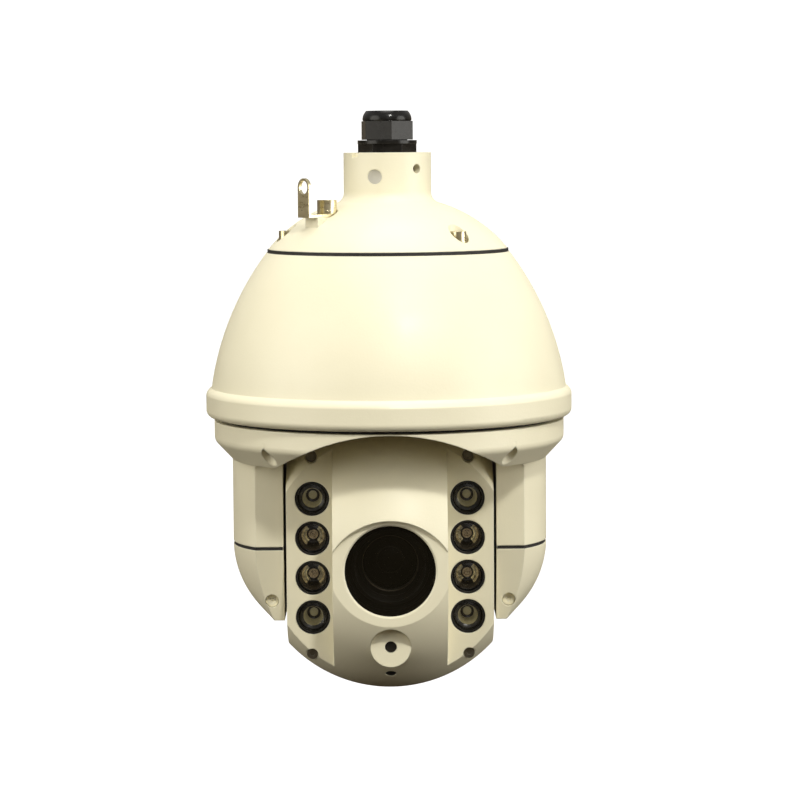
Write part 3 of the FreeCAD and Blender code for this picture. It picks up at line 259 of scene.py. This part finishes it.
CHIP = add_painted_glow(
    moulded("lamp_chip", (0.10, 0.06, 0.03), (0.80, 0.62, 0.36), (0.3, 0.4), scale=900), 0.14)
DULL_SCREW = metal("dull_screw", (0.16, 0.145, 0.115), (0.26, 0.24, 0.19), (0.3, 0.45))
LAMP_GLASS = clear_cover("lamp_glass", (0.010, 0.009, 0.006), 0.16, 2.2)


# ---------------------------------------------------------------- mesh helpers

def add_piece(name, shape, material, body, smooth_angle=35):
    """Turns a bmesh into a piece that rides on a CAD body; material is one material or a list."""
    mesh = bpy.data.meshes.new(name)
    bmesh.ops.remove_doubles(shape, verts=shape.verts, dist=1e-6)
    bmesh.ops.recalc_face_normals(shape, faces=shape.faces)
    shape.to_mesh(mesh)
    shape.free()
    piece = bpy.data.objects.new(name, mesh)
    scene.collection.objects.link(piece)
    for finish in material if isinstance(material, list) else [material]:
        mesh.materials.append(finish)
    smooth(piece, smooth_angle)
    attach(piece, body)
    return piece


def smooth(thing, angle=35):
    """Smooth shading that keeps the edges sharper than this angle."""
    for polygon in thing.data.polygons:
        polygon.use_smooth = True
    thing.data.set_sharp_from_angle(angle=math.radians(angle))


def turned_rings(shape, profile, centre, segments):
    """One ring of points for each (radius, forward), round an axis along -Y."""
    rings = []
    for radius, forward in profile:
        ring = []
        for index in range(segments):
            angle = 2 * math.pi * index / segments
            place = (radius * math.cos(angle), -forward, radius * math.sin(angle))
            ring.append(shape.verts.new(Vector(place) + centre))
        rings.append(ring)
    return rings


def join_rings(shape, pairs):
    """Faces between each pair of rings."""
    faces = []
    for inner, outer in pairs:
        for index in range(len(inner)):
            after = (index + 1) % len(inner)
            faces.append(shape.faces.new((inner[index], inner[after], outer[after], outer[index])))
    return faces


def lathe(shape, profile, centre, segments=64):
    """Turns an open profile, closed by a flat face at each end."""
    rings = turned_rings(shape, profile, centre, segments)
    faces = join_rings(shape, zip(rings, rings[1:]))
    return faces + [shape.faces.new(rings[0]), shape.faces.new(rings[-1])]


def closed_lathe(shape, profile, centre, segments=72):
    """Turns a closed loop of points into a ring."""
    rings = turned_rings(shape, profile, centre, segments)
    return join_rings(shape, zip(rings, rings[1:] + rings[:1]))


def arc_points(centre, radius, start, end, steps):
    """Points on an arc in the (radius, forward) plane, angles in degrees."""
    points = []
    for step in range(steps + 1):
        angle = math.radians(start + (end - start) * step / steps)
        points.append((centre[0] + radius * math.cos(angle), centre[1] + radius * math.sin(angle)))
    return points


# ---------------------------------------------------------------- CAD nodes keep their shape

def finish_cad_nodes():
    """Gives every CAD node its slot's material; a few nodes have a finish of their own."""
    slots = {part["node"]: part["material_slot"] for part in frame["record"]["subparts"]}
    for name, thing in nodes.items():
        thing.data.materials.clear()
        thing.data.materials.append(MATERIALS[slots[name]])
        smooth(thing)
    nodes["lamp_lenses"].data.materials[0] = LAMP_GLASS
    nodes["head_screws"].data.materials[0] = DULL_SCREW
    for name in ("window_retainer", "lens_barrel", "light_sensor"):
        nodes[name].data.materials[0] = LENS_BLACK


# ---------------------------------------------------------------- lamps

# Millimetres: radii are from the lamp's axis, depths are forward of the bezel's front.
LAMP_ROWS = 4
BEZEL_RADIUS = 11
THROAT_RADIUS = 9.4
THROAT_FRONT = -5.2
THROAT_BACK = -22
THROAT_LIP = [-4.9, -4.75, -4.8]
BULLET_RIM = 5.4
CUP_RIM = 14.8
EMITTER_FOOT = -21.9
BULLET_RADIUS = 2.7
CUP_FLOOR_RADIUS = 4.2
CUP_FLOOR = -19.2


def lamp_centres():
    """Row and axis of each of the eight lamps, from the outline of the bezel node."""
    low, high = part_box("lamp_bezels")
    radius = BEZEL_RADIUS * MM
    pitch = (high.z - low.z - 2 * radius) / (LAMP_ROWS - 1)
    for x in (low.x + radius, high.x - radius):
        for row in range(LAMP_ROWS):
            yield row, Vector((x, low.y, low.z + radius + pitch * row))


def in_metres(outline):
    return [(radius * MM, forward * MM) for radius, forward in outline]


def bullet_outlines():
    """A deep cone with a small domed lens at its bottom."""
    throat = list(zip((8.7, 8.7, 8.3), THROAT_LIP))
    throat += [(6.4, -BULLET_RIM), (6.1, -5.7), (5.5, -10), (4.4, -19.5), (4.7, THROAT_BACK)]
    foot = EMITTER_FOOT
    dome = [(4.6, foot), (4.6, foot + 0.8), (3.6, foot + 0.5), (2.8, foot + 0.6), (BULLET_RADIUS, foot + 1.4)]
    dome += arc_points((0, foot + 1.6), BULLET_RADIUS, 5, 84, 8)
    return throat, dome


def cup_outlines():
    """A black bore with a polished cup at its bottom, round a square-shouldered chip."""
    throat = list(zip((8.9, 8.9, 8.6), THROAT_LIP))
    throat += [(7.4, -CUP_RIM), (7.15, -15.1)]
    throat += arc_points((4.1, -15.6), 3.0, 0, -85, 6)
    throat += [(CUP_FLOOR_RADIUS, CUP_FLOOR), (CUP_FLOOR_RADIUS, THROAT_BACK)]
    foot = EMITTER_FOOT
    chip = [(4.1, foot), (4.1, foot + 0.9), (3.4, foot + 0.7), (3.2, foot + 2.6), (2.9, foot + 2.9)]
    chip += [(2.5, foot + 2.9), (2.3, foot + 2.5), (1.3, foot + 2.5), (1.2, foot + 2.8), (0.2, foot + 2.9)]
    return throat, chip


def make_lamps():
    """Rows of two kinds: an olive bullet lens at the ends, a gold cup round a bare chip between them."""
    black, bright = range(2)
    kinds = (
        ("bullet", (0, LAMP_ROWS - 1), bullet_outlines(), BULLET_RIM, 2.75, OLIVE_CUP, OLIVE_BALL),
        ("cup", range(1, LAMP_ROWS - 1), cup_outlines(), CUP_RIM, 3.25, GOLD_CUP, CHIP),
    )
    for kind, rows, (throat_outline, emitter_outline), rim, bright_radius, wall, optic in kinds:
        outer_wall = [(THROAT_RADIUS, THROAT_BACK), (THROAT_RADIUS, THROAT_FRONT)]
        throats = bmesh.new()
        emitters = bmesh.new()
        for row, mouth in lamp_centres():
            if row not in rows:
                continue
            for face in closed_lathe(throats, in_metres(throat_outline + outer_wall), mouth):
                middle = face.calc_center_median() - mouth
                # Painted reflection: a cup's top and bottom quarters get the bore's black, standing in for
                # the dark bore that they mirror.
                painted_dark_reflection = kind == "cup" and abs(middle.z) > 0.8 * math.hypot(middle.x, middle.z)
                face.material_index = black if middle.y < rim * MM or painted_dark_reflection else bright
            for face in lathe(emitters, in_metres(emitter_outline), mouth, 40):
                middle = face.calc_center_median() - mouth
                inner = math.hypot(middle.x, middle.z) < bright_radius * MM
                raised = middle.y < -(EMITTER_FOOT + 1) * MM
                face.material_index = bright if inner and raised else black
        throat = add_piece(f"lamp_{kind}_throats", throats, [LAMP_BLACK, wall], "head", 50)
        if kind == "bullet":
            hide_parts("lamp_reflectors")
        add_piece(f"lamp_{kind}_emitters", emitters, [LAMP_BLACK, optic], "head", 40)


# ---------------------------------------------------------------- lens stack behind the window

def front_axis(node):
    """The middle of a node's front."""
    low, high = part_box(node)
    return Vector(((low.x + high.x) / 2, low.y, (low.z + high.z) / 2))


def mark_painted_highlight(faces, axis, reach):
    """Gives the second material, a lighter painted highlight, to a ring's faces within this many millimetres
    of its axis.
    """
    for face in faces:
        middle = face.calc_center_median() - axis
        face.material_index = 1 if math.hypot(middle.x, middle.z) < reach * MM else 0


def make_lens_stack():
    """Baffle threads and a retaining ring inside the barrel, and the zoom group's ring and front glass."""
    axis = front_axis("lens_barrel")
    turns = 20
    pitch = 0.8
    root_radius = 22.45
    crest_radius = 22.0
    taper = 0.045
    threads = []
    for turn in range(turns):
        threads.append((root_radius - taper * turn, -0.35 - pitch * turn))
        threads.append((crest_radius - taper * turn, -0.75 - pitch * turn))
    outline = threads + [(21.3, -17.4), (18.3, -17.4)] + arc_points((18.2, -16.7), 0.75, 60, 220, 6)
    outline += [(17.65, -17.9), (22.55, -17.9), (22.55, -0.3)]
    rings = bmesh.new()
    mark_painted_highlight(closed_lathe(rings, in_metres(outline), axis, 96), axis, 18.3)
    add_piece("lens_baffle", rings, [LENS_BLACK, PAINTED_LENS_HIGHLIGHT], "head", 30)

    axis = front_axis("zoom_group")
    lip = arc_points((8.7, 0.2), 0.65, 60, 180, 6)
    outline = [(15.6, 0.02), (15.6, 0.5), (9.4, 0.7)] + lip + [(8.05, 0.02)]
    iris = bmesh.new()
    mark_painted_highlight(closed_lathe(iris, in_metres(outline), axis, 96), axis, 9.2)
    add_piece("zoom_ring", iris, [LENS_BLACK, PAINTED_LENS_HIGHLIGHT], "zoom", 30)
    bulge = arc_points((0, -37), 37.8, 78, 89.5, 8)
    bead = bmesh.new()
    lathe(bead, in_metres([(7.95, 0.02)] + bulge), axis)
    add_piece("zoom_glass", bead, MATERIALS["glass"], "zoom", 60)


# ---------------------------------------------------------------- seals

def make_rim_gap_seal_and_shade():
    """A black rubber lip seal in the gap between the housing's rim and the pan ring; its black also stands in
    for the shade in the gap, as painted shade.
    """
    low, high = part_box("pan_ring")
    rim_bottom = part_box("upper_housing")[0].z
    ring_radius = (high.x - low.x) / 2
    inner = ring_radius - 7.25 * MM
    outer = ring_radius - 4.9 * MM
    foot = rim_bottom - 2 * MM
    head = rim_bottom + 9 * MM
    lip = 0.6 * MM
    outline = [(inner, foot), (outer - lip, foot), (outer, foot + lip), (outer, head), (inner, head)]
    seal = bmesh.new()
    closed_lathe(seal, outline, Vector(), 160)
    bmesh.ops.rotate(seal, verts=seal.verts, matrix=Matrix.Rotation(math.radians(-90), 3, "X"))
    add_piece("rim_gap_seal_and_shade", seal, MATERIALS["rubber"], "pan", 40)


def make_chin_hole_shade():
    """A black domed cap over the screw in the hole under the chin: painted shade that makes the hole read
    black.
    """
    low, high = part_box("head_rear_shell")
    ball_centre = (low.z + high.z) / 2
    hole_forward = 53.3 * MM
    hole_drop = 74 * MM
    hole_slope = math.radians(45)
    mouth = Vector((0, -hole_forward, ball_centre - hole_drop))
    plug = bmesh.new()
    profile = [(3.55, -3.2), (3.55, -1.1), (3.3, -0.85), (1.5, -0.72), (0.1, -0.7)]
    lathe(plug, in_metres(profile), Vector())
    bmesh.ops.rotate(plug, verts=plug.verts, matrix=Matrix.Rotation(hole_slope, 3, "X"))
    bmesh.ops.translate(plug, verts=plug.verts, vec=mouth)
    add_piece("chin_hole_shade", plug, MATERIALS["rubber"], "head", 40)


# ---------------------------------------------------------------- stage, light and camera

def make_stage():
    """A pale round floor well below the hanging camera, with a plain screen round it."""
    material, tree, shader = new_material("pale_floor")
    tint = ramp(tree, noise(tree, 0.8, 2), [(0.3, (0.90, 0.90, 0.895)), (0.7, (0.93, 0.93, 0.925))])
    tree.links.new(tint, shader.inputs["Base Color"])
    shader.inputs["Roughness"].default_value = 0.9
    shader.inputs["Emission Color"].default_value = (1, 1, 1, 1)
    shader.inputs["Emission Strength"].default_value = 0.9
    floor_z = cad_box[0].z - 1.6
    stage_radius = 6
    screen_height = 7
    for name, capped in (("floor", True), ("backdrop", False)):
        mesh = bpy.data.meshes.new(name)
        shape = bmesh.new()
        bmesh.ops.create_circle(shape, cap_ends=capped, segments=96, radius=stage_radius)
        if not capped:
            raised = bmesh.ops.extrude_edge_only(shape, edges=shape.edges[:])
            upper = [item for item in raised["geom"] if isinstance(item, bmesh.types.BMVert)]
            bmesh.ops.translate(shape, verts=upper, vec=(0, 0, screen_height))
        bmesh.ops.translate(shape, verts=shape.verts, vec=(0, 0, floor_z))
        shape.to_mesh(mesh)
        shape.free()
        mesh.materials.append(material)
        plane = bpy.data.objects.new(name, mesh)
        scene.collection.objects.link(plane)
        plane.visible_diffuse = False
        plane.visible_glossy = False
        plane.visible_transmission = False
        plane.visible_shadow = False


def add_light(name, place, size, power, colour):
    """A round area light that faces the middle of the camera."""
    middle = (cad_box[0] + cad_box[1]) / 2
    data = bpy.data.lights.new(name, "AREA")
    data.shape = "DISK"
    data.size = size
    data.energy = power
    data.color = colour
    lamp = bpy.data.objects.new(name, data)
    scene.collection.objects.link(lamp)
    lamp.location = place
    lamp.rotation_euler = (middle - Vector(place)).to_track_quat("-Z", "Y").to_euler()


def light_stage():
    """A key light high in front, soft panels above and at both sides; the world is dark below."""
    warm_white = (1.0, 0.985, 0.93)
    cream_white = (1.0, 0.97, 0.88)
    add_light("key", (0.58, -1.75, 1.5), 0.25, 28, warm_white)
    add_light("overhead", (0.0, -0.1, 2.2), 1.4, 18, warm_white)
    add_light("right_panel", (1.7, -0.6, 0.2), 1.4, 21, warm_white)
    add_light("left_panel", (-1.5, -0.8, 0.3), 1.5, 17, cream_white)
    add_light("front_fill", (0.3, -2.0, 0.5), 0.8, 0.8, warm_white)
    world = bpy.data.worlds.new("studio")
    scene.world = world
    world.use_nodes = True
    tree = world.node_tree
    tree.nodes.clear()
    output = tree.nodes.new("ShaderNodeOutputWorld")
    background = tree.nodes.new("ShaderNodeBackground")
    coordinates = tree.nodes.new("ShaderNodeTexCoord")
    split = tree.nodes.new("ShaderNodeSeparateXYZ")
    tree.links.new(coordinates.outputs["Generated"], split.inputs["Vector"])
    height = spread(tree, split.outputs["Z"], 0, 1, -0.5, 0.5)
    tint = ramp(tree, height, [
        (0.0, (0.035, 0.024, 0.012)),
        (0.45, (0.27, 0.21, 0.13)),
        (1.0, (1.0, 1.0, 0.98)),
    ])
    tree.links.new(tint, background.inputs["Color"])
    background.inputs["Strength"].default_value = 0.55
    tree.links.new(background.outputs["Background"], output.inputs["Surface"])


def make_camera():
    """Eye level with the neck, 1.85 m in front of the pan axis, looking a little down."""
    eye = Vector((0, -1.85, 0.0065))
    target = Vector((0.0072, 0, -0.1618))
    data = bpy.data.cameras.new("camera")
    data.sensor_width = 36
    data.lens = 127.5
    camera = bpy.data.objects.new("camera", data)
    scene.collection.objects.link(camera)
    roll = Matrix.Rotation(math.radians(-0.4), 4, "Z")
    aim = (target - eye).to_track_quat("-Z", "Y").to_matrix().to_4x4()
    camera.matrix_world = Matrix.Translation(eye) @ aim @ roll
    scene.camera = camera


make_camera()
finish_cad_nodes()
make_lamps()
make_lens_stack()
make_rim_gap_seal_and_shade()
make_chin_hole_shade()
make_stage()
light_stage()
scene.view_settings.view_transform = "Standard"
